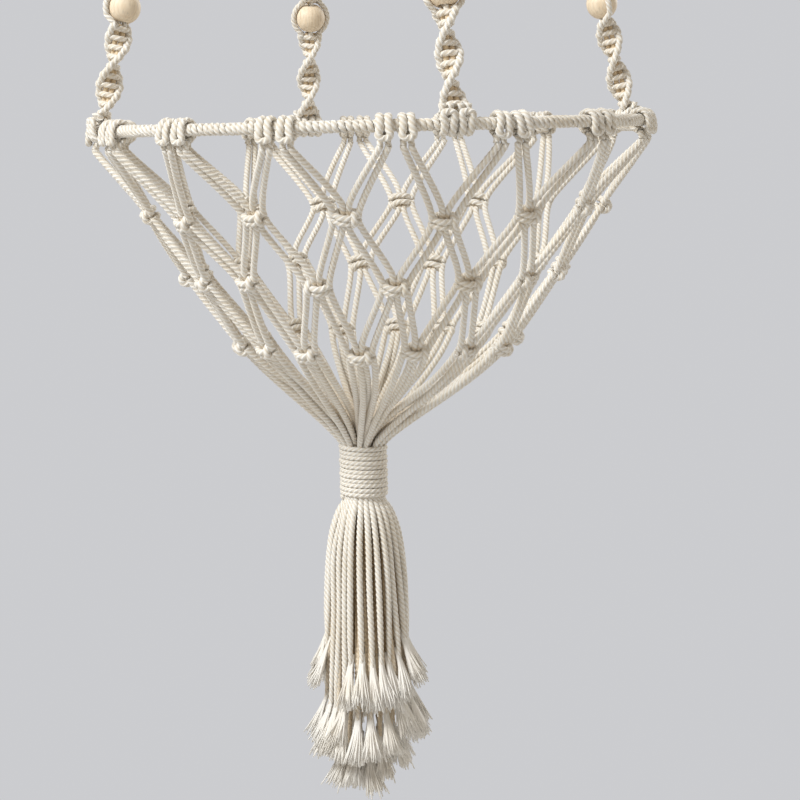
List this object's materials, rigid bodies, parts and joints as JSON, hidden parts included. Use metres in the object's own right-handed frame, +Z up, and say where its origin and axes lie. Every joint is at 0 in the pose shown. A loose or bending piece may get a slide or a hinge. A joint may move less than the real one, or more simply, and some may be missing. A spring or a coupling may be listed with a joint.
{
  "type": "hanging macrame planter",
  "caption": "Macrame hanger: a wound hoop on knotted, beaded straps from a wooden ring, with a net of square knots below it that gathers into a bound neck and a frayed tassel.",
  "frame": {"origin": "middle of the hanging ring's eye, where the hook goes", "axes": "+Z up; the hanging ring lies in the XZ plane, and the four straps stand on the diagonals between +X and +Y"},
  "size_m": [0.3632, 0.3632, 1.2852],
  "materials": {
    "cotton_cord": "matte",
    "hoop_steel": "satin",
    "bead_wood": "satin",
    "ring_wood": "satin"
  },
  "bodies": {
    "hanging_ring": {"hanging_ring": "ring_wood"},
    "basket": {"ring_loops": "cotton_cord", "gathering_wraps": "cotton_cord", "hoop_winding": "cotton_cord", "larks_heads": "cotton_cord", "net_drops": "cotton_cord", "row_1_knots": "cotton_cord", "row_2_cords": "cotton_cord", "row_2_knots": "cotton_cord", "row_3_cords": "cotton_cord", "row_3_knots": "cotton_cord", "gather_cords": "cotton_cord", "gathered_neck": "cotton_cord", "strap_cords_1": "cotton_cord", "upper_sennit_1": "cotton_cord", "bead_cords_1": "cotton_cord", "lower_sennit_1": "cotton_cord", "strap_hitch_1": "cotton_cord", "strap_cords_2": "cotton_cord", "upper_sennit_2": "cotton_cord", "bead_cords_2": "cotton_cord", "lower_sennit_2": "cotton_cord", "strap_hitch_2": "cotton_cord", "strap_cords_3": "cotton_cord", "upper_sennit_3": "cotton_cord", "bead_cords_3": "cotton_cord", "lower_sennit_3": "cotton_cord", "strap_hitch_3": "cotton_cord", "strap_cords_4": "cotton_cord", "upper_sennit_4": "cotton_cord", "bead_cords_4": "cotton_cord", "lower_sennit_4": "cotton_cord", "strap_hitch_4": "cotton_cord", "hoop_core": "hoop_steel"},
    "bead_1": {"bead_1": "bead_wood"},
    "bead_2": {"bead_2": "bead_wood"},
    "bead_3": {"bead_3": "bead_wood"},
    "bead_4": {"bead_4": "bead_wood"},
    "tassel": {"tassel_outer_tier": "cotton_cord", "tassel_middle_tier": "cotton_cord", "tassel_inner_tier": "cotton_cord"}
  },
  "joints": [
    {"name": "hanger_swing", "type": "hinge", "parent": "hanging_ring", "child": "basket", "pos_m": [0, 0, -0.029], "axis": [1, 0, 0], "range_deg": [-25, 25]},
    {"name": "bead_1_spin", "type": "hinge", "parent": "basket", "child": "bead_1", "pos_m": [0.10982, 0.10982, -0.74525], "axis": [-0.1585, -0.1585, 0.9745], "continuous": true},
    {"name": "bead_2_spin", "type": "hinge", "parent": "basket", "child": "bead_2", "pos_m": [-0.10982, 0.10982, -0.74525], "axis": [0.1585, -0.1585, 0.9745], "continuous": true},
    {"name": "bead_3_spin", "type": "hinge", "parent": "basket", "child": "bead_3", "pos_m": [-0.10982, -0.10982, -0.74525], "axis": [0.1585, 0.1585, 0.9745], "continuous": true},
    {"name": "bead_4_spin", "type": "hinge", "parent": "basket", "child": "bead_4", "pos_m": [0.10982, -0.10982, -0.74525], "axis": [-0.1585, 0.1585, 0.9745], "continuous": true},
    {"name": "tassel_swing", "type": "hinge", "parent": "basket", "child": "tassel", "pos_m": [-0.013, 0, -1.0587], "axis": [0, 1, 0], "range_deg": [-25, 25]}
  ]
}
